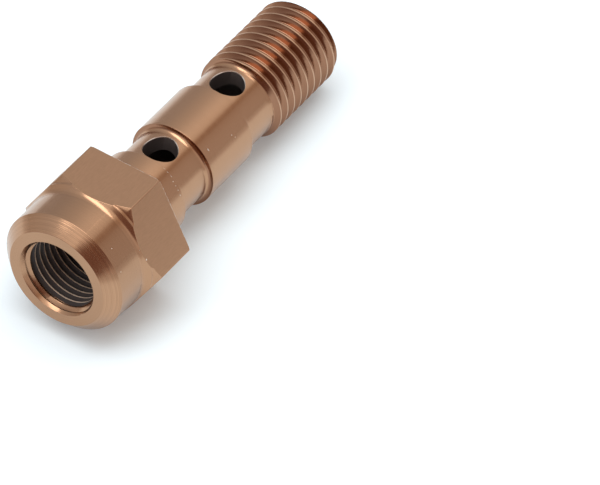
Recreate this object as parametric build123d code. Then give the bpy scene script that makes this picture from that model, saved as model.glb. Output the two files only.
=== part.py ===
"""Double banjo bolt, turned and milled from one bar of aluminium.

The bolt clamps two ring fittings (banjos) under one hexagon and joins the fluid
of both to a port in its head. It is one piece: a round head with a tapped port,
a stepped shoulder, a hexagon, and a shank with two relief grooves, where the
fluid enters by cross holes, and an M10 x 1.25 thread.

Frame, in millimetres: the origin is the centre of the seat face under the
hexagon, +X runs along the axis from the head to the tip of the thread, and +Z
is square to the upper flat of the hexagon.
"""
from build123d import *
from math import ceil, cos, radians, sin, tan
import os

# Hexagon and round head
hex_across_flats = 14.29        # a 9/16 inch spanner
hex_length = 5.05               # its front corners to the seat face
rear_corner_cut = 0.22          # how far the corners are turned in at the seat face
rear_corner_angle = 30.0        # of that cut, from the seat face
head_length = 11.54             # end face to seat face
head_inside_flats = 0.195       # how far the round head lies within the flats
end_chamfer = 1.35              # at 45 degrees
first_step_share = 0.45         # of the rise from the round head to the corners
shoulder_angle = 50.0           # slope of both steps, from the axis
shoulder_ledge = 0.2            # level stretch between the steps

# Fluid port in the head
port_mouth_diameter = 8.84
port_minor_diameter = 7.8       # crest circle of the fine inside thread
port_countersink_angle = 60.0   # included
port_depth = 9.4
drill_point_angle = 118.0       # included, at the end of each drilled hole

# Shank
shank_length = 33.1             # seat face to tip
land_diameter = 9.85            # the smooth parts and the crests of the thread
groove_depth = 0.625            # of each relief groove below the lands

# Relief grooves, one round each cross hole
first_hole_from_seat = 6.48
hole_spacing = 12.22
cross_hole_diameter = 3.6
groove_start_before_hole = 2.38
groove_width = 5.0
groove_corner = 0.88            # radius at both ends of the floor, in groove depths
groove_corner_cuts = 3          # straight cuts that make up each of these corners

# Passage on the axis, from the port to the second cross hole
passage_diameter = 5.0
passage_past_second_hole = 2.6

# M10 x 1.25 thread, right handed
thread_pitch = 1.25
thread_flank_angle = 60.0       # included
thread_crest_width = 0.17
thread_depth = 0.6
thread_first_crest = 0.09       # from the edge of the last groove, on the +Z side
tip_chamfer = 0.7
cutter_run_in = 2               # turns that the thread cutter starts before the first crest
cutter_turns = 1.04             # length of one pass of the cutter, in turns
cutter_clearance = 0.15         # how far the cutter reaches past the crests

# Worked out from the sizes above
land_r = land_diameter / 2
relief_r = land_r - groove_depth
head_r = hex_across_flats / 2 - head_inside_flats
hex_corner_r = hex_across_flats / 2 / cos(radians(30))
second_hole_from_seat = first_hole_from_seat + hole_spacing
thread_start = second_hole_from_seat - groove_start_before_hole + groove_width


def run_of(rise, degrees):
    """Length along the axis of a slope at an angle to the axis."""
    return rise / tan(radians(degrees))


def head_points():
    """Outline from the end face over the stepped shoulder to the seat face."""
    first_step = (hex_corner_r - head_r) * first_step_share
    ledge_r = head_r + first_step
    foot_2 = -hex_length - run_of(hex_corner_r - ledge_r, shoulder_angle)
    ledge_start = foot_2 - shoulder_ledge
    foot_1 = ledge_start - run_of(first_step, shoulder_angle)
    rear_cut_length = rear_corner_cut * tan(radians(rear_corner_angle))
    return [
        (-head_length, 0),
        (-head_length, head_r - end_chamfer),
        (-head_length + end_chamfer, head_r),
        (foot_1, head_r),
        (ledge_start, ledge_r),
        (foot_2, ledge_r),
        (-hex_length, hex_corner_r),
        (-rear_cut_length, hex_corner_r),
        (0, hex_corner_r - rear_corner_cut),
        (0, land_r),
    ]


def groove_end_points(wall_x, inward):
    """Outline from a wall of the groove down to its floor, round a corner in short cuts."""
    radius = groove_depth * groove_corner
    angles = [radians(90 * i / groove_corner_cuts) for i in range(groove_corner_cuts + 1)]
    return [(wall_x, land_r)] + [
        (wall_x + inward * radius * (1 - cos(a)), relief_r + radius * (1 - sin(a)))
        for a in angles
    ]


def relief_points(hole_x):
    """Outline of one relief groove: steep walls, round corners and the floor."""
    start = hole_x - groove_start_before_hole
    end = start + groove_width
    return groove_end_points(start, 1) + groove_end_points(end, -1)[::-1]


def tip_points():
    """Outline of the end of the thread."""
    return [
        (shank_length - tip_chamfer, land_r),
        (shank_length, land_r - tip_chamfer),
        (shank_length, 0),
    ]


def turn(points):
    """Revolve a closed half section round X."""
    with BuildPart() as turned:
        with BuildSketch(Plane.XZ):
            with BuildLine():
                Polyline(*points, close=True)
            make_face()
        revolve(axis=Axis.X)
    return turned.part


def hexagon():
    """The six flats, as a prism that is long enough to pass over the whole bolt."""
    length = head_length + shank_length
    section = Plane.YZ.offset(-head_length) * RegularPolygon(
        hex_across_flats / 2, side_count=6, major_radius=False
    )
    return extrude(section, length)


def drill_point(diameter):
    """Length of the cone that a drill leaves at the end of a blind hole."""
    return run_of(diameter / 2, drill_point_angle / 2)


def fluid_bore():
    """The port in the head with its countersink, and the passage behind it."""
    mouth_r = port_mouth_diameter / 2
    minor_r = port_minor_diameter / 2
    passage_r = passage_diameter / 2
    countersink = run_of(mouth_r - minor_r, port_countersink_angle / 2)
    port_end = -head_length + port_depth
    step = drill_point(port_minor_diameter) - drill_point(passage_diameter)
    passage_end = second_hole_from_seat + passage_past_second_hole
    return turn([
        (-head_length, 0),
        (-head_length, mouth_r),
        (-head_length + countersink, minor_r),
        (port_end, minor_r),
        (port_end + step, passage_r),
        (passage_end, passage_r),
        (passage_end + drill_point(passage_diameter), 0),
    ])


def cross_hole(hole_x):
    """A hole straight through the shank, square to the upper flat of the hexagon."""
    return Pos(hole_x, 0, 0) * Cylinder(cross_hole_diameter / 2, 2 * land_diameter)


def helix(start_x, radius):
    """One cutter pass along the thread: a right-handed helix round X that starts on -Z."""
    path = Edge.make_helix(thread_pitch, cutter_turns * thread_pitch, radius)
    return Pos(start_x, 0, 0) * (Rot(0, 90, 0) * path)


def thread_cutter(start_x):
    """The space between two crests, a little more than one turn long.

    Its four sides are ruled between helices at the root and just outside the crests.
    """
    lean = tan(radians(thread_flank_angle / 2))
    outer_r = land_r + cutter_clearance
    top = (thread_pitch - thread_crest_width) / 2 + cutter_clearance * lean
    root = (thread_pitch - thread_crest_width) / 2 - thread_depth * lean
    edges = [
        helix(start_x - top, outer_r),
        helix(start_x - root, land_r - thread_depth),
        helix(start_x + root, land_r - thread_depth),
        helix(start_x + top, outer_r),
    ]
    sides = [Face.make_surface_from_curves(edges[i - 1], edges[i]) for i in range(4)]
    ends = [
        make_face(Polyline(*[edge.position_at(end) for edge in edges], close=True)).face()
        for end in (0, 1)
    ]
    return Solid(Shell(sides + ends))


def cut_thread(blank):
    """Cut the thread in passes that each begin where the last one ended."""
    start = thread_start + thread_first_crest - thread_pitch * cutter_run_in
    passes = ceil((shank_length - start) / thread_pitch / cutter_turns) + 1
    cutter = thread_cutter(start)
    for i in range(passes):
        turned = cutter_turns * i
        blank -= Pos(turned * thread_pitch, 0, 0) * (Rot(360 * turned, 0, 0) * cutter)
    return blank


def banjo_bolt():
    """The whole bolt, cut from one turned blank."""
    points = head_points()
    points += relief_points(first_hole_from_seat)
    points += relief_points(second_hole_from_seat)
    points += tip_points()
    blank = turn(points) & hexagon()
    blank = cut_thread(blank)
    blank -= fluid_bore()
    for hole_x in (first_hole_from_seat, second_hole_from_seat):
        blank -= cross_hole(hole_x)
    return blank


os.makedirs("parts", exist_ok=True)
export_step(banjo_bolt(), "parts/banjo_bolt.step")
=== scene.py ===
# %% [markdown]
# # A double banjo bolt
# This bolt clamps two ring fittings under one hexagon and joins their fluid to a port in
# its head. It is one piece of bronze anodised aluminium. We load the engineering model
# first, because its box and its frame are fixed: +X runs from the head to the tip of the
# thread, +Z is square to the upper flat, and everything we make has to lie inside it.

# %% Load the frame
import bmesh
import bpy
from math import acos, asin, atan, ceil, cos, degrees, pi, radians, sin, sqrt, tan
from mathutils import Matrix, Vector


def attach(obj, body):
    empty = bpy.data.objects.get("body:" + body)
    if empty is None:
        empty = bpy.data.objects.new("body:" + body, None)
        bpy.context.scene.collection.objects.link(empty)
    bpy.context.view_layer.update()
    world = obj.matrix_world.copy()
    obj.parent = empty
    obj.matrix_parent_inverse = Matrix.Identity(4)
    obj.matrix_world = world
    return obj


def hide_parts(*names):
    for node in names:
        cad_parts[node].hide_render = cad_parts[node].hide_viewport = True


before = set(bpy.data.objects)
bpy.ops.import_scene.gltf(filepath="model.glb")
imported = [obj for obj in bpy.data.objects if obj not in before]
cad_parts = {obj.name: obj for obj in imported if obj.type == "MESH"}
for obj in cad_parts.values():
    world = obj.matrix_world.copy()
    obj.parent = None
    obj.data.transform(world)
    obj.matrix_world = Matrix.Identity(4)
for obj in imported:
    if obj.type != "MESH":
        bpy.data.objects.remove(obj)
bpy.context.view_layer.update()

# %% [markdown]
# ## Sizes
# All sizes are in millimetres while we work, because the cutting operations are happiest
# with numbers near one. The finished mesh is turned into metres in a single step. The
# values repeat those of the engineering model.

# %% Sizes
MM = 0.001
across_flats = 14.29
flat_r = across_flats / 2
corner_r = flat_r / cos(radians(30))
hex_length = 5.05
head_inside_flats = 0.195
head_r = flat_r - head_inside_flats
head_end = -11.54
chamfer = 1.35
first_step_share = 0.45
ledge_r = head_r + (corner_r - head_r) * first_step_share
shoulder_slope = 50
land_r = 9.85 / 2
groove_depth = 0.625
relief_r = land_r - groove_depth
hole_xs = (6.48, 18.70)
hole_r = 3.6 / 2
groove_start = 2.38
groove_width = 5.0
tip_x = 33.1
tip_chamfer = 0.7
thread_start = hole_xs[1] - groove_start + groove_width
print("hexagon corners at", round(corner_r, 3), "mm")
print("the thread starts at", round(thread_start, 2), "mm")

# %% [markdown]
# ## Rounded outlines
# No real edge is perfectly sharp: a turned corner keeps a radius of a few hundredths of a
# millimetre, and that radius is what catches the light. A helper replaces every corner of
# an outline by an arc. We do this in the outline, and not with a bevel afterwards, because
# the arcs then stay even where surfaces cut through each other.

# %% Arc at a corner
nearly_straight = radians(89.5)
degrees_per_step = 12


def arc_at(before, corner, after, radius, steps):
    """Points of an arc that is tangent to both sides of a corner."""
    to_before = (before - corner).normalized()
    to_after = (after - corner).normalized()
    half = to_before.angle(to_after) / 2
    if half > nearly_straight:
        return [corner] * (steps + 1)
    start = corner + to_before * radius / tan(half)
    centre = corner + (to_before + to_after).normalized() * radius / sin(half)
    sweep = (start - centre).angle_signed(corner + to_after * radius / tan(half) - centre)
    spoke = start - centre
    points = []
    for i in range(steps + 1):
        turn = Matrix.Rotation(-sweep * i / steps, 2)
        points.append(centre + turn @ spoke)
    return points


def rounded(corners):
    """Outline through (x, r, radius) corners, with an arc at each corner that has a radius."""
    spots = [Vector(corner[:2]) for corner in corners]
    outline = [spots[0]]
    for i in range(1, len(corners) - 1):
        radius = corners[i][2]
        if radius:
            bend = pi - (spots[i - 1] - spots[i]).angle(spots[i + 1] - spots[i])
            steps = max(2, ceil(degrees(bend) / degrees_per_step))
            outline += arc_at(spots[i - 1], spots[i], spots[i + 1], radius, steps)
        else:
            outline.append(spots[i])
    return outline + [spots[-1]]


print("a right angle becomes", len(rounded([(0, 0, 0), (1, 0, 0.1), (1, 1, 0)])) - 2, "points")

# %% [markdown]
# ## The head's outline
# The lathe made a flat end face, a 45 degree chamfer, a round head and two steps up to
# the hexagon, each with a small fillet at its foot. We follow the second step past the
# corners of the hexagon, because each side of the hexagon will cut it at its own height.

# %% Head outline
edge_radius = 0.06
ledge_edge_radius = 0.03
fillet_1 = 0.8
fillet_2 = 0.3
ledge_length = 0.2
step_2_foot = -hex_length - (corner_r - ledge_r) / tan(radians(shoulder_slope))
ledge_start = step_2_foot - ledge_length
step_1_foot = ledge_start - (ledge_r - head_r) / tan(radians(shoulder_slope))
past_corners = 0.6
over_r = corner_r + past_corners
head_outline = rounded([
    (head_end, 0, 0),
    (head_end, head_r - chamfer, edge_radius),
    (head_end + chamfer, head_r, edge_radius),
    (step_1_foot, head_r, fillet_1),
    (ledge_start, ledge_r, ledge_edge_radius),
    (step_2_foot, ledge_r, fillet_2),
    (step_2_foot + (over_r - ledge_r) / tan(radians(shoulder_slope)), over_r, 0),
])
print("head outline:", len(head_outline), "points")

# %% [markdown]
# ## The shank's outline
# Round each cross hole the lathe cut a relief groove with steep walls and round corners,
# and left a barely broken edge at the top of each wall. Long straight stretches are
# divided, so that the cross holes cut small faces and the shading round them stays clean.

# %% Shank outline
groove_corner = (land_r - relief_r) * 0.88
groove_edge_radius = 0.03
longest_stretch = 0.35


def groove(hole_x):
    """Corners of one relief groove: wall, round corner, floor, round corner and wall."""
    start = hole_x - groove_start
    end = start + groove_width
    return [
        (start, land_r, groove_edge_radius),
        (start, relief_r, groove_corner),
        (end, relief_r, groove_corner),
        (end, land_r, groove_edge_radius),
    ]


def divided(outline, longest):
    """The same outline with no stretch longer than a length."""
    points = [outline[0]]
    for a, b in zip(outline, outline[1:]):
        parts = max(1, ceil((b - a).length / longest))
        points += [a.lerp(b, i / parts) for i in range(1, parts + 1)]
    return points


smooth_end = rounded([(0, land_r, 0)] + groove(hole_xs[0]) + groove(hole_xs[1]) + [
    (tip_x - tip_chamfer, land_r, 0),
])
smooth_end = divided(smooth_end[:-1], longest_stretch) + smooth_end[-1:]
shank_outline = smooth_end + rounded([
    (tip_x - tip_chamfer, land_r, 0),
    (tip_x, land_r - tip_chamfer, edge_radius),
    (tip_x, 0, 0),
])[1:]
print("shank outline:", len(shank_outline), "points")

# %% [markdown]
# ## The hexagon
# Seen along the axis, a flat lies at a distance that grows with the angle from its
# middle, until the rounded edge to the next flat. Every column of the mesh is one
# section through the bolt at one angle: it follows the turned outline up to the height
# of the flat, bends over a small arc, and runs back to the seat face. So the curves
# where cone and flats meet come out exactly, with a soft edge, and need no cutting.

# %% Angles and the height of the flats
long_edge_radius = 0.06


def flat_height(angle):
    """Distance from the axis to the hexagon, at an angle in degrees from a flat's middle."""
    from_edge = radians(30 - abs(angle))
    edge_centre = (flat_r - long_edge_radius) / cos(radians(30))
    if abs(asin(min(1, edge_centre * sin(from_edge) / long_edge_radius))) < radians(30):
        reach = long_edge_radius ** 2 - (edge_centre * sin(from_edge)) ** 2
        return edge_centre * cos(from_edge) + sqrt(reach)
    return flat_r / cos(radians(abs(angle)))


ledge_angle = degrees(acos(flat_r / ledge_r))
near_edge = [27.1, 28, 29, 29.79, 29.9]
half_flat = sorted([float(a) for a in range(2, 28, 2)] + near_edge + [ledge_angle])
flat_angles = [-30.0] + [-a for a in reversed(half_flat)] + [0.0] + half_flat
column_angles = [60 * side + a for side in range(6) for a in flat_angles]
print(len(column_angles), "columns; edges at", round(flat_height(30), 3), "mm")

# %% [markdown]
# ## One section through head and hexagon
# At each angle we follow the head's outline until it reaches the flat, put a small arc
# there, and go back level to the seat face, whose corners are turned in a little. All
# sections need the same number of points, or the staves of the barrel would not match, so
# the points that are left over are gathered where the outline meets the flat.

# %% One section through head and hexagon
seat_corner_cut = 0.22
seat_cut_length = seat_corner_cut * tan(radians(30))
seat_r = corner_r - seat_corner_cut
front_edge_radius = 0.05
seat_edge_radius = 0.07
arc_steps = 3


def head_section(angle):
    """Section from the end face to the seat face, with the same number of points at any angle."""
    height = flat_height((angle + 30) % 60 - 30)
    first_out = next(i for i, p in enumerate(head_outline) if p.y > height)
    a, b = head_outline[first_out - 1], head_outline[first_out]
    crossing = a.lerp(b, (height - a.y) / (b.y - a.y))
    over = crossing + Vector((1, 0))
    before = crossing + (crossing - b)
    front_arc = arc_at(before, crossing, over, front_edge_radius, arc_steps)
    reach = (front_arc[0] - crossing).length
    points = []
    for i, point in enumerate(head_outline[:-1]):
        kept = i < first_out and (point - crossing).length > reach
        points.append(point if kept else front_arc[0])
    if height > seat_r:
        back = Vector((-(height - seat_r) / seat_corner_cut * seat_cut_length, height))
        foot = Vector((0, seat_r))
    else:
        back = Vector((0, height))
        foot = Vector((0, height - 1))
    radius = min(seat_edge_radius, (foot - back).length / 3)
    rear_arc = arc_at(back - Vector((1, 0)), back, foot, radius, arc_steps)
    last = Vector((0, min(rear_arc[-1].y, seat_r)))
    return points + front_arc[1:] + rear_arc + [last]


print("points in one head section:", {len(head_section(a)) for a in column_angles})

# %% [markdown]
# ## From sections to a solid
# The sections are joined like the staves of a barrel. Where points fall together, at both
# poles and where a section has no shoulder left, the doubles are merged, and the normals
# are turned outwards after that.

# %% Barrel of sections
same_place = 1e-5


def barrel(name, columns):
    """Closed mesh from columns of points that all begin and end on the same two poles."""
    shape = bmesh.new()
    grid = [[shape.verts.new(point) for point in column] for column in columns]
    for left, right in zip(grid, grid[1:] + grid[:1]):
        for i in range(len(left) - 1):
            shape.faces.new((left[i], left[i + 1], right[i + 1], right[i]))
    bmesh.ops.remove_doubles(shape, verts=shape.verts, dist=same_place)
    bmesh.ops.recalc_face_normals(shape, faces=shape.faces)
    mesh = bpy.data.meshes.new(name)
    shape.to_mesh(mesh)
    shape.free()
    piece = bpy.data.objects.new(name, mesh)
    bpy.context.scene.collection.objects.link(piece)
    return piece


def round_x(point, angle):
    """A point (x, r) of an outline, turned about X from +Z towards -Y."""
    return Vector((point.x, -point.y * sin(radians(angle)), point.y * cos(radians(angle))))


columns = []
for angle in column_angles:
    section = head_section(angle) + shank_outline
    columns.append([round_x(point, angle) for point in section])
bolt = barrel("bolt", columns)
print("blank:", len(bolt.data.vertices), "points,", len(bolt.data.polygons), "faces")

# %% [markdown]
# ## The fluid bore
# A countersunk port, tapped with a fine thread, goes 9.4 mm into the head, and a narrower
# passage runs on to the second cross hole. The tool that cuts it is a barrel of its own.
# It flares a little just outside the end face, which leaves the mouth with a fine chamfer.

# %% Port and passage tool
mouth_r = 8.84 / 2
minor_r = 7.8 / 2
passage_r = 5.0 / 2
mouth_break = 0.04
port_depth = 9.4
past_last_hole = 2.6
into_air = 0.5
bore_step = 3
sink_end = head_end + (mouth_r - minor_r) / tan(radians(30))
port_end = head_end + port_depth
point_slope = tan(radians(59))
passage_end = hole_xs[1] + past_last_hole
break_r = mouth_r - mouth_break * tan(radians(30))
bore_outline = [Vector(p) for p in (
    (head_end - into_air, 0),
    (head_end - into_air, break_r + mouth_break + into_air),
    (head_end + mouth_break, break_r),
    (sink_end, minor_r),
    (port_end, minor_r),
    (port_end + (minor_r - passage_r) / point_slope, passage_r),
    (passage_end, passage_r),
    (passage_end + passage_r / point_slope, 0),
)]
bore_angles = range(0, 360, bore_step)
bore_tool = barrel("bore_tool", [[round_x(p, a) for p in bore_outline] for a in bore_angles])
print("bore tool:", len(bore_tool.data.polygons), "faces")

# %% [markdown]
# ## The cross holes
# Each hole goes straight through the shank. Where it meets the round floor of the groove
# its rim is a saddle curve, and the deburring tool has left a thin bright chamfer along
# that whole curve. So the rings of this tool follow the height of the surface, and only
# then spread outwards.

# %% Height of the shank's surface
def outline_radius(x):
    """Radius of the shank's outline at x."""
    for a, b in zip(shank_outline, shank_outline[1:]):
        if a.x <= x <= b.x and b.x > a.x:
            return a.y + (b.y - a.y) * (x - a.x) / (b.x - a.x)
    return land_r


print("radius at the first hole:", round(outline_radius(hole_xs[0]), 3), "mm")

# %% Cross hole tool
rim_width = 0.06
rim_depth = 0.1
flare = 0.08
flare_slope = 3.4
air_z = land_r + 2
hole_step = 4


def hole_column(hole_x, angle):
    """One column of the tool, from the lower pole to the upper one."""
    along, across = cos(angle), sin(angle)

    def at(reach, lift=0.0, height=None):
        x, y = hole_x + reach * along, reach * across
        if height is None:
            height = sqrt(outline_radius(x) ** 2 - y ** 2) + lift
        return Vector((x, y, height))

    outer = hole_r + rim_width
    flared = outer * (1 + flare)
    flare_top = at(outer).z + outer * flare * flare_slope
    upper = [
        at(hole_r, -rim_depth),
        at(outer),
        at(flared, height=flare_top),
        at(flared, height=air_z),
        Vector((hole_x, 0, air_z)),
    ]
    lower = [Vector((p.x, p.y, -p.z)) for p in reversed(upper)]
    return lower + upper


hole_tools = []
for hole_x in hole_xs:
    turns = [radians(a) for a in range(0, 360, hole_step)]
    hole_tools.append(barrel("hole_tool", [hole_column(hole_x, a) for a in turns]))
print("cross hole tools at x =", hole_xs)

# %% [markdown]
# ## Cutting
# The bore and the cross holes are taken out of the blank with Boolean modifiers. Each one
# is applied at once, by making a plain mesh of the evaluated piece, and its tool is thrown
# away.

# %% Cut the bore and the holes
def baked(piece):
    """Replace a piece's mesh by its evaluated one and drop its modifiers."""
    graph = bpy.context.evaluated_depsgraph_get()
    mesh = bpy.data.meshes.new_from_object(piece.evaluated_get(graph), depsgraph=graph)
    piece.modifiers.clear()
    piece.data = mesh


def cut(piece, tool, finish="INDEX"):
    """Take a tool's shape out of a piece; TRANSFER gives the cut the tool's material."""
    knife = piece.modifiers.new("cut", "BOOLEAN")
    knife.operation = "DIFFERENCE"
    knife.solver = "MANIFOLD"
    knife.material_mode = finish
    knife.object = tool
    baked(piece)
    bpy.data.objects.remove(tool)


for tool in [bore_tool] + hole_tools:
    cut(bolt, tool)
print("after the bore and holes:", len(bolt.data.polygons), "faces")

# %% [markdown]
# ## The threads
# A screw thread is one shape that follows one rule: the gap between two crests, carried
# along a helix. That is a task for Geometry Nodes. The tree draws a spiral, sweeps the
# gap's section along it, lays the sweep along X, and takes it out of the part. The same
# tree cuts the coarse thread outside and the fine one inside the port, with other inputs.

# %% Helpers for node trees
def add(tree, kind, values=None, **settings):
    """Add a node, set its properties, and set or link its inputs."""
    node = tree.nodes.new(kind)
    for name, value in settings.items():
        setattr(node, name, value)
    for key, value in (values or {}).items():
        socket = node.inputs[key]
        if isinstance(value, bpy.types.NodeSocket):
            tree.links.new(value, socket)
        else:
            socket.default_value = value
    return node


def arithmetic(tree, operation, *terms):
    """Output of a Math node."""
    node = add(tree, "ShaderNodeMath", dict(enumerate(terms)), operation=operation)
    return node.outputs[0]


print("add makes a node with its links, arithmetic makes a Math node")

# %% Inputs of the thread tree
THREAD_INPUTS = {
    "Pitch": "NodeSocketFloat",
    "Turns": "NodeSocketFloat",
    "Start": "NodeSocketFloat",
    "Start Angle": "NodeSocketFloat",
    "Root Radius": "NodeSocketFloat",
    "Root Width": "NodeSocketFloat",
    "Mouth Radius": "NodeSocketFloat",
    "Mouth Width": "NodeSocketFloat",
    "Root Rounding": "NodeSocketFloat",
    "Steps per Turn": "NodeSocketInt",
    "Finish": "NodeSocketMaterial",
}
print(len(THREAD_INPUTS), "inputs")

# %% The path and the section of the gap
def spiral_path(tree, given):
    """Spiral round Z along the root of the thread."""
    spiral = add(tree, "GeometryNodeCurveSpiral", {
        "Resolution": given["Steps per Turn"],
        "Rotations": given["Turns"],
        "Start Radius": given["Root Radius"],
        "End Radius": given["Root Radius"],
        "Height": arithmetic(tree, "MULTIPLY", given["Pitch"], given["Turns"]),
        "Reverse": True,
    })
    level = add(tree, "GeometryNodeSetCurveNormal", {"Curve": spiral.outputs[0]}, mode="Z_UP")
    return level.outputs[0]


def gap_section(tree, given):
    """Section of the gap between two crests, with rounded corners."""
    depth = arithmetic(tree, "SUBTRACT", given["Mouth Radius"], given["Root Radius"])
    outward = arithmetic(tree, "SIGN", depth)
    half = arithmetic(tree, "MULTIPLY", outward, -0.5)
    root = arithmetic(tree, "MULTIPLY", given["Root Width"], half)
    mouth = arithmetic(tree, "MULTIPLY", given["Mouth Width"], half)
    corners = [(0.0, root), (depth, mouth), (depth, mouth), (0.0, root)]
    points = {}
    for i, (out, side) in enumerate(corners):
        if i > 1:
            side = arithmetic(tree, "MULTIPLY", side, -1.0)
        point = add(tree, "ShaderNodeCombineXYZ", {"X": out, "Y": side})
        points[f"Point {i + 1}"] = point.outputs[0]
    gap = add(tree, "GeometryNodeCurvePrimitiveQuadrilateral", points, mode="POINTS")
    soft_gap = add(tree, "GeometryNodeFilletCurve", {
        "Curve": gap.outputs[0], "Count": 3, "Radius": given["Root Rounding"],
        "Limit Radius": True,
    }, mode="POLY")
    return soft_gap.outputs[0]


print("the tree sweeps gap_section along spiral_path")

# %% The thread tree
def laid_along_x(tree, given, sweep):
    """The sweep, tipped from Z to X, turned to its start angle and moved to its start."""
    tip_over = add(tree, "ShaderNodeCombineXYZ", {"Y": radians(90)})
    start = add(tree, "ShaderNodeCombineXYZ", {"X": given["Start"]})
    begin = add(tree, "ShaderNodeCombineXYZ", {"X": given["Start Angle"]})
    lying = add(tree, "GeometryNodeTransform", {
        "Geometry": sweep, "Rotation": tip_over.outputs[0],
    })
    return add(tree, "GeometryNodeTransform", {
        "Geometry": lying.outputs[0], "Rotation": begin.outputs[0],
        "Translation": start.outputs[0],
    }).outputs[0]


def thread_tree():
    """Node tree that cuts a helical thread about X out of the geometry it is given."""
    tree = bpy.data.node_groups.new("screw thread", "GeometryNodeTree")
    sockets = tree.interface
    sockets.new_socket("Geometry", in_out="INPUT", socket_type="NodeSocketGeometry")
    for name, kind in THREAD_INPUTS.items():
        sockets.new_socket(name, in_out="INPUT", socket_type=kind)
    sockets.new_socket("Geometry", in_out="OUTPUT", socket_type="NodeSocketGeometry")
    given = tree.nodes.new("NodeGroupInput").outputs
    sweep = add(tree, "GeometryNodeCurveToMesh", {
        "Curve": spiral_path(tree, given), "Profile Curve": gap_section(tree, given),
        "Fill Caps": True,
    })
    less = add(tree, "GeometryNodeMeshBoolean", {
        "Mesh 1": given["Geometry"], "Mesh 2": laid_along_x(tree, given, sweep.outputs[0]),
    }, operation="DIFFERENCE", solver="MANIFOLD")
    real = add(tree, "GeometryNodeRealizeInstances", {"Geometry": less.outputs[0]})
    finish = add(tree, "GeometryNodeSetMaterial", {
        "Geometry": real.outputs[0], "Material": given["Finish"],
    })
    result = tree.nodes.new("NodeGroupOutput")
    tree.links.new(finish.outputs[0], result.inputs[0])
    return tree


screw_thread = thread_tree()
print("thread tree:", len(screw_thread.nodes), "nodes")

# %% [markdown]
# ## The M10 thread
# Its crests stand 1.25 mm apart, and the first one rises out of the wall of the last
# groove, so the tool begins a turn earlier, in the empty groove, and leaves the metal past
# the tip. It reaches a little beyond the crests, so that no skin of metal is left there.

# %% Cut the M10 thread
def cut_thread(piece, inputs):
    """Run the thread tree on a piece, with its inputs set by their identifiers."""
    tool = piece.modifiers.new("thread", "NODES")
    tool.node_group = screw_thread
    names = {item.name: item.identifier for item in screw_thread.interface.items_tree
             if item.in_out == "INPUT"}
    for name, value in inputs.items():
        tool[names[name]] = value
    baked(piece)


turned = bpy.data.materials.new("bronze_turned")
pitch = 1.25
crest_width = 0.17
thread_depth = 0.6
flank_slope = tan(radians(30))
clearance = 0.14
gap_width = pitch - crest_width
crest_past_groove = 0.09
first_crest_top = thread_start + crest_past_groove
run_in = 1
run_out = 2
thread_turns = ceil((tip_x - thread_start) / pitch) + run_in + run_out
cut_thread(bolt, {
    "Pitch": pitch,
    "Turns": float(thread_turns),
    "Start": first_crest_top - run_in * pitch,
    "Start Angle": 0.0,
    "Root Radius": land_r - thread_depth,
    "Root Width": gap_width - 2 * thread_depth * flank_slope,
    "Mouth Radius": land_r + clearance,
    "Mouth Width": gap_width + 2 * clearance * flank_slope,
    "Root Rounding": 0.07,
    "Steps per Turn": 96,
    "Finish": turned,
})
print("M10 thread cut in", thread_turns, "turns:", len(bolt.data.polygons), "faces")

# %% [markdown]
# ## The fine thread in the port
# The same tree cuts it from the inside: the mouth of the gap then has the smaller radius.
# The tool begins outside the countersink, so the first turns run out into it, as they do
# behind a real tap.

# %% Fine thread in the port
fine_pitch = 0.8
fine_depth = 0.43
fine_crest = 0.14
fine_gap = fine_pitch - fine_crest
far_wall_angle = 208.5
first_fine_crest = head_end + 1.8
fine_run_in = 3
fine_turns = 9.0
cut_thread(bolt, {
    "Pitch": fine_pitch,
    "Turns": fine_turns,
    "Start": first_fine_crest + fine_pitch / 2 - fine_run_in * fine_pitch,
    "Start Angle": radians(far_wall_angle - 180),
    "Root Radius": minor_r + fine_depth,
    "Root Width": fine_gap - 2 * fine_depth * flank_slope,
    "Mouth Radius": minor_r - clearance,
    "Mouth Width": fine_gap + 2 * clearance * flank_slope,
    "Root Rounding": 0.03,
    "Steps per Turn": 72,
    "Finish": turned,
})
print("port thread cut:", len(bolt.data.polygons), "faces")

# %% [markdown]
# ## Nicks
# The bolt has been handled: the edges of the grooves and a few spots on the lands, the
# threads and the head carry tiny nicks where bare metal shines through the skin. Each one
# is a flat little pebble, cut out of the surface. The pebbles lie at fixed places, because
# a nick is an accident and follows no rule.

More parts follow.
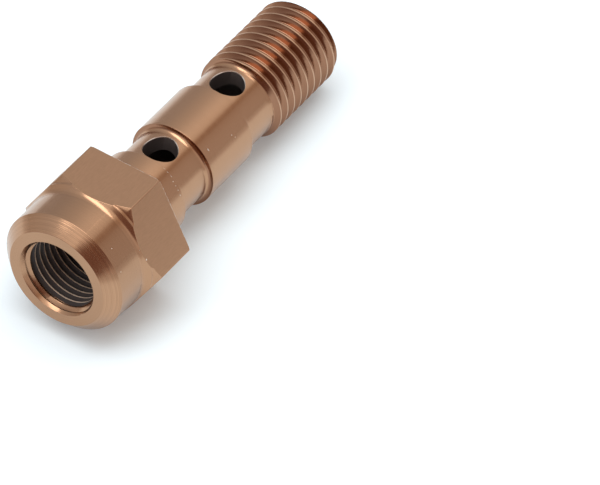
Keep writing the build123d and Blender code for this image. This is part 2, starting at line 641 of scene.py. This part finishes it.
# %% Cut the nicks
bare = bpy.data.materials.new("bare_metal")
NICKS = [
    # x, angle from +Z towards -Y, distance from the axis, half length along X and round X
    (4.1, 25, 4.92, 0.07, 0.14), (4.11, 30.5, 4.92, 0.1, 0.13), (4.1, 37, 4.92, 0.09, 0.16),
    (3.83, 43, 4.92, 0.06, 0.09), (3.81, 49, 4.92, 0.05, 0.08), (3.8, 55, 4.92, 0.05, 0.09),
    (3.77, 62, 4.92, 0.06, 0.1),
    (8.85, 63, 4.63, 0.1, 0.12), (9.96, 45.5, 4.925, 0.08, 0.17), (13.66, 53.1, 4.925, 0.06, 0.08),
    (13.96, 58.4, 4.925, 0.05, 0.07),
    (21.34, 42, 4.92, 0.05, 0.14), (21.34, 46, 4.92, 0.06, 0.16), (21.34, 51, 4.92, 0.05, 0.15),
    (21.34, 55.5, 4.92, 0.06, 0.16), (21.34, 60, 4.92, 0.05, 0.16), (21.34, 65, 4.92, 0.06, 0.14),
    (21.93, -0.9, 4.6, 0.1, 0.1), (25.29, -40.4, 4.85, 0.09, 0.12), (27.7, 1.9, 4.85, 0.08, 0.1),
    (27.3, -5.0, 4.9, 0.09, 0.12), (26.85, 34.1, 4.9, 0.08, 0.1), (32.3, 64.1, 4.6, 0.08, 0.1),
    (-5.98, 70.5, 7.27, 0.1, 0.1), (-6.24, 60.3, 7.07, 0.08, 0.08), (-9.58, 63, 6.95, 0.07, 0.07),
    (-9.12, 42.5, 6.95, 0.05, 0.06),
    (-2.1, 104, 7.3, 0.07, 0.08), (12.4, 150, 4.925, 0.08, 0.12), (27.9, 215, 4.9, 0.09, 0.14),
    (-9.3, 196, 6.95, 0.08, 0.08), (9.08, 250, 4.92, 0.06, 0.14), (16.32, 310, 4.92, 0.06, 0.12),
]
NICK_DEPTH = 0.045


def nick_tool():
    """All the pebbles as one mesh."""
    shape = bmesh.new()
    for x, angle, out, along, round_way in NICKS:
        turn = Matrix.Rotation(radians(angle), 4, "X")
        place = turn @ Matrix.Translation((x, 0, out))
        size = Matrix.Diagonal((along, round_way, NICK_DEPTH, 1))
        bmesh.ops.create_icosphere(shape, subdivisions=1, radius=1, matrix=place @ size)
    mesh = bpy.data.meshes.new("nick_tool")
    shape.to_mesh(mesh)
    shape.free()
    mesh.materials.append(bare)
    tool = bpy.data.objects.new("nick_tool", mesh)
    bpy.context.scene.collection.objects.link(tool)
    return tool


bolt.data.materials.append(bare)
cut(bolt, nick_tool(), "TRANSFER")
bare_slot = [slot.material == bare for slot in bolt.material_slots].index(True)
bare_faces = sum(face.material_index == bare_slot for face in bolt.data.polygons)
print(len(NICKS), "nicks with", bare_faces, "faces")

# %% [markdown]
# ## Metres and smooth shading
# Blender works in metres, so the whole mesh shrinks by a thousand. Turned faces are round
# and shade smoothly, while real corners stay crisp: an edge that bends by more than 32
# degrees is marked sharp. Weighted normals let the large faces decide how the small arcs
# between them shade, which keeps the flats of the hexagon flat.

# %% Metres and smooth shading
sharp_angle = radians(32)
bolt.data.transform(Matrix.Scale(MM, 4))
bolt.data.shade_smooth()
bolt.data.set_sharp_from_angle(angle=sharp_angle)
even = bolt.modifiers.new("even normals", "WEIGHTED_NORMAL")
even.keep_sharp = True
even.weight = 100
baked(bolt)
for axis, name in enumerate("XYZ"):
    reach = [v.co[axis] / MM for v in bolt.data.vertices]
    print(name, "from", round(min(reach), 3), "to", round(max(reach), 3), "mm")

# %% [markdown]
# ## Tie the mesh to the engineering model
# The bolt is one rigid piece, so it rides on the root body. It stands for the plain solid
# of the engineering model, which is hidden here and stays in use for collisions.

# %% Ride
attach(bolt, "root")
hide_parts("banjo_bolt")
print("the bolt rides on root")

# %% [markdown]
# ## Which face gets which finish
# One bolt shows several finishes: turned faces, milled flats, threads, the walls of
# drilled holes that hardly any light reaches, painted near black as shade, and thin rims
# where the deburring tool bared the metal. The crests of the threads are painted paler, as
# a highlight. The steep walls of the grooves that look towards the head share the threads'
# smoother finish and their painted shade. Each tool worked at its own place, so where a
# face lies and how it is turned is enough to tell the finishes apart, and no face has to
# be picked by hand.

# %% Make room for the finishes
# Some of these colours are painted light: painted shade in the holes, between the threads and on
# the far groove walls, and painted highlights on the thread crests.
milled = bpy.data.materials.new("bronze_milled")
hole_painted_shade = bpy.data.materials.new("bronze_hole_painted_shade")
crest_painted_highlight = bpy.data.materials.new("bronze_crest_painted_highlight")
faced = bpy.data.materials.new("bronze_chamfer")
worn = bpy.data.materials.new("bronze_worn_edge")
port_crest_painted_highlight = bpy.data.materials.new("bronze_port_crest_painted_highlight")
thread_painted_shade = bpy.data.materials.new("bronze_thread_painted_shade")
headed = bpy.data.materials.new("bronze_head")
nicked = {face.index for face in bolt.data.polygons
          if bolt.data.materials[face.material_index] == bare}
finishes = [turned, milled, hole_painted_shade, bare, crest_painted_highlight, faced, worn, port_crest_painted_highlight, thread_painted_shade, headed]
bolt.data.materials.clear()
for finish in finishes:
    bolt.data.materials.append(finish)
print(len(finishes), "finishes,", len(nicked), "nicked faces")

# %% Finishes of the holes and threads
hair = 0.012
margin = 0.02
bored_r = passage_r + 0.05
bare_rim_r = hole_r + rim_width / 2 - 0.005
port_crest_end = port_end - 0.3
end_on = 0.95
side_on = 0.3


def hole_finish(middle, out):
    """Finish of a face of a cross hole, rim or wall, and None for any other face."""
    for hole_x in hole_xs:
        reach = Vector((middle.x - hole_x, middle.y)).length
        if reach < hole_r + rim_width and out > bored_r:
            return bare if reach > bare_rim_r else hole_painted_shade
    return None


def inside_finish(middle, out):
    """Finish of a face inside the port or the passage."""
    on_crest = abs(out - minor_r) < margin and middle.x < port_crest_end
    return port_crest_painted_highlight if on_crest else hole_painted_shade


def thread_finish(face, middle, out):
    """Finish of a face of the M10 thread, flank or crest, and None for any other face."""
    along = face.normal.x
    if middle.x > thread_start + margin and out < land_r - hair and along < end_on:
        return thread_painted_shade
    if middle.x > thread_start - margin and out > land_r - hair and abs(along) < side_on:
        return crest_painted_highlight
    return None


print("a face within", hair, "mm of the crest circle is crest")

# %% Walls of the grooves and milled flats
steep = 0.75
level = 0.02
flat_margin = 0.01
flat_turn = 0.3


def on_far_wall(face, middle):
    """Whether a face is on the steep wall of a relief groove that looks towards the head."""
    past_hole = [middle.x - hole_x for hole_x in hole_xs]
    return face.normal.x < -steep and any(0 < past < groove_width for past in past_hole)


def is_flat(face, out):
    """Whether a face belongs to one of the six milled flats."""
    if abs(face.normal.x) > level or out < flat_r - flat_margin:
        return False
    tilt = degrees(Vector((0, *face.normal[1:])).angle(Vector((0, 0, 1))))
    return abs((tilt + 30) % 60 - 30) < flat_turn


print("a flat is level along the axis and within", flat_turn, "degrees of its place round it")

# %% Sort the faces
inside_start = head_end + 1.45
inside_end = tip_x - 1
seat_edge = 0.09
seat_margin = 0.001
seat_tilt = 0.1
chamfer_tilt = (0.6, 0.8)
head_stop = step_1_foot - 0.37


def finish_of(face):
    """Finish of a face, from its middle and its normal, in millimetres."""
    middle = face.center / MM
    from_axis = Vector((0, middle.y, middle.z))
    out = from_axis.length
    outward = face.normal.dot(from_axis.normalized())
    in_hole = hole_finish(middle, out)
    if in_hole:
        return in_hole
    if face.index in nicked:
        return bare
    inwards = outward < -level or out < bored_r
    if inwards and inside_start < middle.x < inside_end:
        return inside_finish(middle, out)
    on_thread = thread_finish(face, middle, out)
    if on_thread:
        return on_thread
    at_seat = -seat_edge < middle.x < seat_margin and face.normal.x > seat_tilt
    if at_seat and out > flat_r - seat_edge:
        return worn
    if middle.x < head_end + chamfer and chamfer_tilt[0] < outward < chamfer_tilt[1]:
        return faced
    # the far walls of the grooves take the threads' painted shade
    if on_far_wall(face, middle):
        return thread_painted_shade
    if is_flat(face, out):
        return milled
    return headed if middle.x < head_stop else turned


for face in bolt.data.polygons:
    face.material_index = finishes.index(finish_of(face))
for i, finish in enumerate(finishes):
    print(finish.name, sum(face.material_index == i for face in bolt.data.polygons))

# %% [markdown]
# ## Turned bronze
# The anodised skin has the colour of pale bronze, and a metal's colour is simply its Base
# Color. A lathe tool leaves fine rings, so the grain is a noise that reads only the
# distance along the axis and the distance from it: it is the same all the way round. The
# rings also spread a reflection along the bolt and leave it sharp round the bolt, which is
# what the anisotropy is for. An image could show all this too, but a noise has no seam.

# %% Grain that runs round the axis
bronze_color = (0.43, 0.243, 0.143)
ring_scale = 6500.0
cloud_scale = 2500.0
ring_height = 3.5e-6


def ring_space(tree):
    """Coordinates (along the axis, distance from it) in metres."""
    place = add(tree, "ShaderNodeTexCoord").outputs["Object"]
    parts = add(tree, "ShaderNodeSeparateXYZ", {"Vector": place}).outputs
    across = add(tree, "ShaderNodeCombineXYZ", {"Y": parts["Y"], "Z": parts["Z"]})
    radius = add(tree, "ShaderNodeVectorMath", {0: across.outputs[0]}, operation="LENGTH")
    rings = add(tree, "ShaderNodeCombineXYZ", {"X": parts["X"], "Y": radius.outputs["Value"]})
    return rings.outputs[0]


def grain(tree, space, scale, detail=2.0):
    """Noise on a space given in metres."""
    return add(tree, "ShaderNodeTexNoise", {
        "Vector": space, "Scale": scale, "Detail": detail, "Roughness": 0.6,
    }).outputs[0]


print("rings about", round(1000 / ring_scale, 2), "mm apart")

# %% Ranges and tints
tint = 0.03
color_inputs = (6, 7)
color_output = 2


def between(tree, value, low, high):
    """A noise of 0.3 to 0.7, mapped to a range."""
    return add(tree, "ShaderNodeMapRange", {
        "Value": value, "From Min": 0.3, "From Max": 0.7, "To Min": low, "To Max": high,
    }, clamp=True).outputs[0]


def mixed(tree, factor, first, second, **settings):
    """Output of a Mix node between two colours, each given or linked."""
    mix = add(tree, "ShaderNodeMix", {"Factor": factor}, data_type="RGBA", **settings)
    for number, color in zip(color_inputs, (first, second)):
        if isinstance(color, bpy.types.NodeSocket):
            tree.links.new(color, mix.inputs[number])
        else:
            mix.inputs[number].default_value = (*color, 1)
    return mix.outputs[color_output]


def tinted(tree, color, amount):
    """A colour that an amount of 0 makes a little darker and 1 a little lighter."""
    darker, lighter = [c * (1 - tint) for c in color], [c * (1 + tint) for c in color]
    return mixed(tree, amount, darker, lighter, clamp_factor=False)


print("tints of", bronze_color, "by", tint)

# %% Turned finish
feed_share = 0.12
rough_change = 0.02


def finish_turned(material, color, height, ring_tint=1.0, feed=None, rough=0.22, spread=0.45):
    """A metal with lathe rings; feed is the tool's step per turn where it left a clear groove."""
    material.use_nodes = True
    tree = material.node_tree
    shader = tree.nodes["Principled BSDF"].inputs
    space = ring_space(tree)
    rings = grain(tree, space, ring_scale)
    if feed:
        along = add(tree, "ShaderNodeSeparateXYZ", {"Vector": space}).outputs["X"]
        wave = arithmetic(tree, "SINE", arithmetic(tree, "MULTIPLY", along, 2 * pi / feed))
        rings = arithmetic(tree, "MULTIPLY_ADD", wave, feed_share, rings)
    shader["Metallic"].default_value = 1.0
    shader["Anisotropic"].default_value = spread
    shader["Anisotropic Rotation"].default_value = 0.25
    round_axis = add(tree, "ShaderNodeTangent", direction_type="RADIAL", axis="X")
    tree.links.new(round_axis.outputs[0], shader["Tangent"])
    clouds = grain(tree, space, cloud_scale)
    dull = between(tree, clouds, rough - rough_change, rough + rough_change)
    tree.links.new(dull, shader["Roughness"])
    shade = between(tree, rings, 0.5 - ring_tint / 2, 0.5 + ring_tint / 2)
    tree.links.new(tinted(tree, color, shade), shader["Base Color"])
    bump = add(tree, "ShaderNodeBump", {"Height": rings, "Distance": height, "Strength": 1.0})
    tree.links.new(bump.outputs[0], shader["Normal"])


finish_turned(turned, bronze_color, ring_height)
print("turned finish:", len(turned.node_tree.nodes), "nodes")

# %% [markdown]
# ## Chamfer, threads and head
# The chamfer on the head was cut with a coarser feed, so clear grooves run round it: a
# sine wave is added to the noise. Between the threads the colour is painted darker and
# redder, as painted shade for the light that is thrown from flank to flank and takes the
# colour up each time; the walls of the grooves that look towards the head get the same
# painted shade. A threading tool leaves no rings, so that finish is smoother and has no
# anisotropy. The head is given a colour a shade darker than the shank, with the same rings.

# %% Chamfer, threads and head
chamfer_feed = 0.115 * MM
chamfer_height = 8e-6
chamfer_tint = 3.0
# darker, redder colour: painted shade between the threads and on the far groove walls
thread_shade_color = (0.31, 0.158, 0.095)
thread_height = 2e-6
head_color = [c * 0.92 for c in bronze_color]
finish_turned(faced, bronze_color, chamfer_height, chamfer_tint, feed=chamfer_feed)
finish_turned(thread_painted_shade, thread_shade_color, thread_height, rough=0.16, spread=0.0)
finish_turned(headed, head_color, ring_height)
print("grooves", round(chamfer_feed / MM, 3), "mm apart on the chamfer")

# %% [markdown]
# ## Milled flats
# The milling cutter crossed the bar, so its marks lie at a slant to the axis and not round
# it. A Mapping node turns the coordinates and squeezes them across the marks, which makes
# long thin streaks of a plain noise.

# %% Plain metals
def plain_metal(material, color, roughness, metallic=1.0):
    """A metal of one colour; gives its node tree and the shader's inputs."""
    material.use_nodes = True
    shader = material.node_tree.nodes["Principled BSDF"].inputs
    shader["Base Color"].default_value = (*color, 1)
    shader["Metallic"].default_value = metallic
    shader["Roughness"].default_value = roughness
    return material.node_tree, shader


print("a plain metal has one colour, one roughness and no grain")

# %% Milled flats
milled_color = [c * 0.94 for c in bronze_color]
milled_tints = (-0.5, 1.5)
cutter_slant = radians(18)
streak_scales = (1300.0, 9000.0, 9000.0)
streak_height = 1e-6
tree, shader = plain_metal(milled, milled_color, 0.32)
slanted = add(tree, "ShaderNodeMapping", {
    "Vector": add(tree, "ShaderNodeTexCoord").outputs["Object"],
    "Rotation": (0, 0, cutter_slant),
    "Scale": streak_scales,
})
streaks = grain(tree, slanted.outputs[0], 1.0, 3.0)
bump = add(tree, "ShaderNodeBump", {
    "Height": streaks, "Distance": streak_height, "Strength": 1.0,
})
tree.links.new(bump.outputs[0], shader["Normal"])
shade = between(tree, streaks, *milled_tints)
tree.links.new(tinted(tree, milled_color, shade), shader["Base Color"])
print("milled finish:", len(tree.nodes), "nodes")

# %% [markdown]
# ## Painted shade in the holes, painted highlights on the crests, bare metal
# Deep in the port and the cross holes the colour is dull and nearly black: painted shade,
# where hardly any light reaches. The crests of both threads are painted paler than the
# skin, a painted highlight along each crest. Nicks and the rims of the cross holes are
# bare aluminium, and so is the edge of the seat face, but only in patches: a noise mixes
# skin and bare metal there.

# %% Holes, crests and bare metal
bare_color = (0.78, 0.70, 0.62)
# paler colour: a painted highlight along the crests of the M10 thread
crest_highlight_color = (0.5, 0.31, 0.2)
# paler, dull colour: a painted highlight along the crests of the port's thread
port_crest_highlight_color = (0.75, 0.58, 0.44)
# near-black colour: painted shade deep in the port, the passage and the cross holes
hole_shade_color = (0.06, 0.046, 0.042)
plain_metal(crest_painted_highlight, crest_highlight_color, roughness=0.35)
plain_metal(port_crest_painted_highlight, port_crest_highlight_color, roughness=0.6, metallic=0.2)
plain_metal(hole_painted_shade, hole_shade_color, roughness=0.6, metallic=0.2)
plain_metal(bare, bare_color, roughness=0.35)
tree, shader = plain_metal(worn, bronze_color, roughness=0.3)
patch_scale = 2600.0
patch_range = (-0.6, 2.2)
place = add(tree, "ShaderNodeTexCoord").outputs["Object"]
patches = between(tree, grain(tree, place, patch_scale, 3.0), *patch_range)
skin_or_bare = mixed(tree, patches, bronze_color, bare_color)
tree.links.new(skin_or_bare, shader["Base Color"])
print("finishes:", [finish.name for finish in finishes])

# %% [markdown]
# ## The floor
# The head is thicker than the shank, so the bolt doesn't lie level: it rests on the lower
# edge of the seat face and on the last crest of the thread, and leans by about four
# degrees. The bolt keeps its own frame, so here the floor leans instead. We find its slope
# from the mesh, as the steepest line from that edge that stays below all of the thread.

# %% Floor
edge_z = -flat_r * MM
thread_points = [v.co for v in bolt.data.vertices if v.co.x > thread_start * MM]
slope = min((point.z - edge_z) / point.x for point in thread_points)
upright = Vector((-slope, 0, 1)).normalized()
side = Vector((0, 1, 0))
ahead = side.cross(upright)
half_floor = 1.5
corners = [(-1, -1), (1, -1), (1, 1), (-1, 1)]
floor_mesh = bpy.data.meshes.new("floor")
floor_mesh.from_pydata([
    Vector((0, 0, edge_z)) + (ahead * a + side * b) * half_floor for a, b in corners
], [], [(0, 1, 2, 3)])
floor = bpy.data.objects.new("floor", floor_mesh)
bpy.context.scene.collection.objects.link(floor)
print("the bolt leans by", round(degrees(atan(slope)), 2), "degrees")

# %% [markdown]
# ## Paper on a table
# The bolt lies on white paper that keeps its shadow. Further off the floor is greyer,
# because a metal mirrors all of it, and a white floor out to the horizon would wash out
# the lower half of the bolt. Light Path tells the rays that look at the floor, straight
# or by way of the metal, from those that only gather light: the first ones see the floor
# a little brighter, so it reads as white and still is no lamp.

# %% Paper
paper_color = (0.77, 0.87, 0.92)
paper_r = 0.065
table_color = (0.5, 0.5, 0.5)
table_r = 0.1
glow = 0.12
paper = bpy.data.materials.new("paper")
tree, shader = plain_metal(paper, paper_color, 1.0, 0.0)
ground = add(tree, "ShaderNodeTexCoord").outputs["Object"]
reach = add(tree, "ShaderNodeVectorMath", {0: ground}, operation="LENGTH")
off_paper = add(tree, "ShaderNodeMapRange", {
    "Value": reach.outputs["Value"], "From Min": paper_r, "From Max": table_r,
})
tree.links.new(mixed(tree, off_paper.outputs[0], paper_color, table_color), shader["Base Color"])
rays = add(tree, "ShaderNodeLightPath").outputs
seen = arithmetic(tree, "MAXIMUM", rays["Is Camera Ray"], rays["Is Glossy Ray"])
seen = arithmetic(tree, "MAXIMUM", seen, rays["Is Transmission Ray"])
shader["Emission Color"].default_value = (1, 1, 1, 1)
tree.links.new(arithmetic(tree, "MULTIPLY", seen, glow), shader["Emission Strength"])
floor_mesh.materials.append(paper)
print("paper:", len(tree.nodes), "nodes")

# %% [markdown]
# ## The studio round the bolt
# What polished metal shows is mostly its surroundings. Round a long bolt these read as
# bands along it, so the world is a colour ramp over the angle round the X axis: bright
# from above, a warm dark gap on the near side, and pale again below that. A dark card
# stands low behind the camera, and gives the chamfer and the walls of the grooves their
# brown shade, and the wall behind it is a little brighter than the rest. The world could
# be painted as an image, but a ramp is easier to correct.

# %% Bands round the axis
world = bpy.data.worlds.new("studio")
bpy.context.scene.world = world
world.use_nodes = True
tree = world.node_tree
toward = add(tree, "ShaderNodeTexCoord").outputs["Generated"]
parts = add(tree, "ShaderNodeSeparateXYZ", {"Vector": toward}).outputs
near = arithmetic(tree, "MULTIPLY", parts["Y"], -1.0)
lean = arithmetic(tree, "ARCTAN2", near, parts["Z"])
turn = arithmetic(tree, "ADD", arithmetic(tree, "DIVIDE", lean, 2 * pi), 0.5)
BANDS = [
    # degrees from +Z towards -Y, then red, green and blue
    (-180, 0.58, 0.56, 0.55), (-90, 0.58, 0.56, 0.55), (-60, 0.62, 0.64, 0.68),
    (-44, 0.71, 0.73, 0.76), (-26, 0.81, 0.82, 0.84), (-10, 0.97, 0.98, 0.99),
    (3, 1.06, 1.06, 1.06), (20, 1.03, 1.0, 0.96), (26, 0.62, 0.5, 0.42),
    (30, 0.5, 0.36, 0.27), (34, 0.52, 0.4, 0.33), (40, 0.65, 0.57, 0.53),
    (55, 0.7, 0.645, 0.635), (180, 0.72, 0.68, 0.68),
]
ramp = add(tree, "ShaderNodeValToRGB", {"Fac": turn})
stops = ramp.color_ramp.elements
while len(stops) < len(BANDS):
    stops.new(0.5)
for stop, (angle, *color) in zip(stops, BANDS):
    stop.position = (angle + 180) / 360
    stop.color = (*color, 1)
print(len(BANDS), "bands")

# %% Dark card and back wall
def fading(value, start, end, low=0.0, high=1.0):
    """A value of the world's tree that goes from low at start to high at end."""
    return add(tree, "ShaderNodeMapRange", {
        "Value": value, "From Min": start, "From Max": end, "To Min": low, "To Max": high,
    }).outputs[0]


card_middle = Vector((-0.87, -0.42, 0.27)).normalized()
card_color = (0.26, 0.14, 0.11)
card_edge = (0.885, 0.92)
foot_top = (0.36, 0.22)
foot_side = (-0.6, -0.9)
back_wall = (0.1, -0.5)
back_brightness = 1.25
near_card = add(tree, "ShaderNodeVectorMath", {0: toward, 1: card_middle}, operation="DOT_PRODUCT")
on_card = fading(near_card.outputs["Value"], *card_edge)
low, behind = fading(parts["Z"], *foot_top), fading(parts["X"], *foot_side)
dark = arithmetic(tree, "MAXIMUM", on_card, arithmetic(tree, "MULTIPLY", low, behind))
back = fading(parts["X"], *back_wall, 1.0, back_brightness)
wall = add(tree, "ShaderNodeVectorMath", {0: ramp.outputs[0], "Scale": back}, operation="SCALE")
studio = mixed(tree, dark, wall.outputs[0], card_color)
tree.links.new(studio, tree.nodes["Background"].inputs["Color"])
print("card towards", [round(c, 2) for c in card_middle])

# %% [markdown]
# ## The softbox
# One large soft light hangs over the bolt, a little towards the head and the far side.
# Its size makes the shadow soft. Its long side lies at a slant over the bolt, so the light
# falls along the bolt and also reaches down both of its sides.

# %% Softbox
softbox_data = bpy.data.lights.new("softbox", "AREA")
softbox_data.shape = "ELLIPSE"
softbox_data.size = 0.36
softbox_data.size_y = 0.94
softbox_data.energy = 2.4
softbox = bpy.data.objects.new("softbox", softbox_data)
bpy.context.scene.collection.objects.link(softbox)
overhead = Vector((-0.13, 0.1, 0.99)).normalized()
softbox_height = 0.6
softbox.location = overhead * softbox_height
softbox.rotation_euler = overhead.to_track_quat("Z", "Y").to_euler()
print("softbox at", [round(c, 3) for c in softbox.location])

# %% [markdown]
# ## The camera
# The camera looks at the end of the head from above, through a long lens, as for a
# catalogue. Its place and direction were fitted to outlines of the real bolt. The view
# transform is Standard, so that a colour comes out as it is written.

# %% Camera
camera_place = Vector((-0.354943, -0.217297, 0.400457))
look = Vector((0.62891, 0.34854, -0.69497)).normalized()
up = Vector((0.55687, 0.42184, 0.7155)).normalized()
right = look.cross(up).normalized()
up = right.cross(look)
camera_data = bpy.data.cameras.new("camera")
camera_data.sensor_width = 36
camera_data.lens = 345.989
camera_data.clip_start = 0.01
camera = bpy.data.objects.new("camera", camera_data)
bpy.context.scene.collection.objects.link(camera)
aim = Matrix((right, up, -look)).transposed().to_4x4()
camera.matrix_world = Matrix.Translation(camera_place) @ aim
bpy.context.scene.camera = camera
bpy.context.scene.view_settings.view_transform = "Standard"
print("camera", round(camera.matrix_world.translation.length, 3), "m from the seat face")
